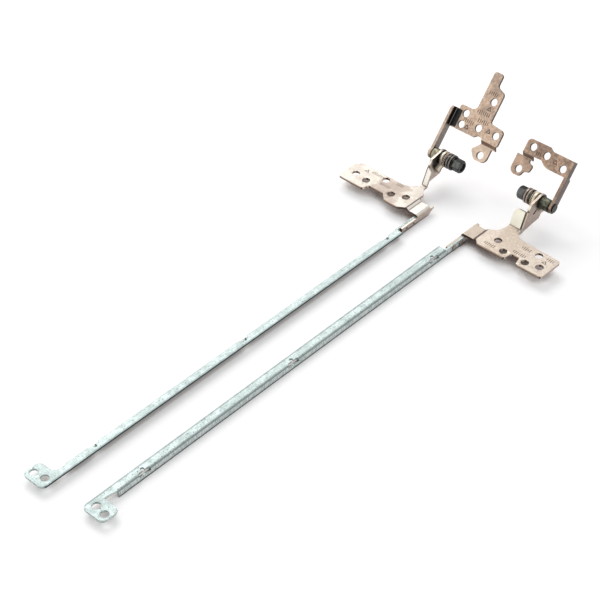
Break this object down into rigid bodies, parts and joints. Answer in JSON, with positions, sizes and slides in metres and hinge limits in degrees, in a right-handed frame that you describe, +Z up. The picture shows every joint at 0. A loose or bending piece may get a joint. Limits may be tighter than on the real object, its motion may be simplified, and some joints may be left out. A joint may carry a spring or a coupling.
{
  "type": "pair of laptop hinges",
  "caption": "Laptop hinge set: long display rails with folded screw brackets, friction washer stacks on short shafts, and base brackets that turn.",
  "frame": {"origin": "bottom centre of the box around both hinges as they lie on a table", "axes": "+X across the pair to the right hinge, along both shafts; +Y along the rails towards the shafts; +Z up"},
  "size_m": [0.1004, 0.2552, 0.0427],
  "materials": {
    "zinc_steel": "pale zinc plating, mottled",
    "nickel_steel": "warm nickel plating, satin",
    "plated_steel": "warm nickel plating, satin, darker",
    "dark_steel": "oiled dark steel",
    "black_steel": "black oxide",
    "spring_steel": "dark spring steel with bright rims",
    "bright_steel": "bright steel",
    "bronze": "oiled bronze",
    "tape": "black film tape"
  },
  "bodies": {
    "display_side": {"left_rail": "zinc_steel", "left_display_bracket": "nickel_steel", "left_tab_washer": "bright_steel", "right_rail": "zinc_steel", "right_display_bracket": "nickel_steel", "right_tab_washer": "bright_steel"},
    "left_base": {"left_shaft": "dark_steel", "left_friction_washer": "black_steel", "left_bronze_washer": "bronze", "left_backing_washer": "black_steel", "left_disc_spring_1": "spring_steel", "left_disc_spring_2": "spring_steel", "left_disc_spring_3": "spring_steel", "left_disc_spring_4": "spring_steel", "left_end_washer": "spring_steel", "left_lock_nut": "black_steel", "left_base_bracket": "plated_steel", "left_insulating_tape": "tape"},
    "right_base": {"right_shaft": "dark_steel", "right_friction_washer": "black_steel", "right_bronze_washer": "bronze", "right_backing_washer": "black_steel", "right_disc_spring_1": "spring_steel", "right_disc_spring_2": "spring_steel", "right_disc_spring_3": "spring_steel", "right_disc_spring_4": "spring_steel", "right_end_washer": "spring_steel", "right_lock_nut": "black_steel", "right_base_bracket": "plated_steel"}
  },
  "joints": [
    {"name": "left_hinge", "type": "hinge", "parent": "display_side", "child": "left_base", "pos_m": [-0.0122, 0.09993, 0.0123], "axis": [1, 0, 0], "range_deg": [-8, 130]},
    {"name": "right_hinge", "type": "hinge", "parent": "display_side", "child": "right_base", "pos_m": [0.0122, 0.10313, 0.0123], "axis": [1, 0, 0], "range_deg": [-8, 130]}
  ]
}
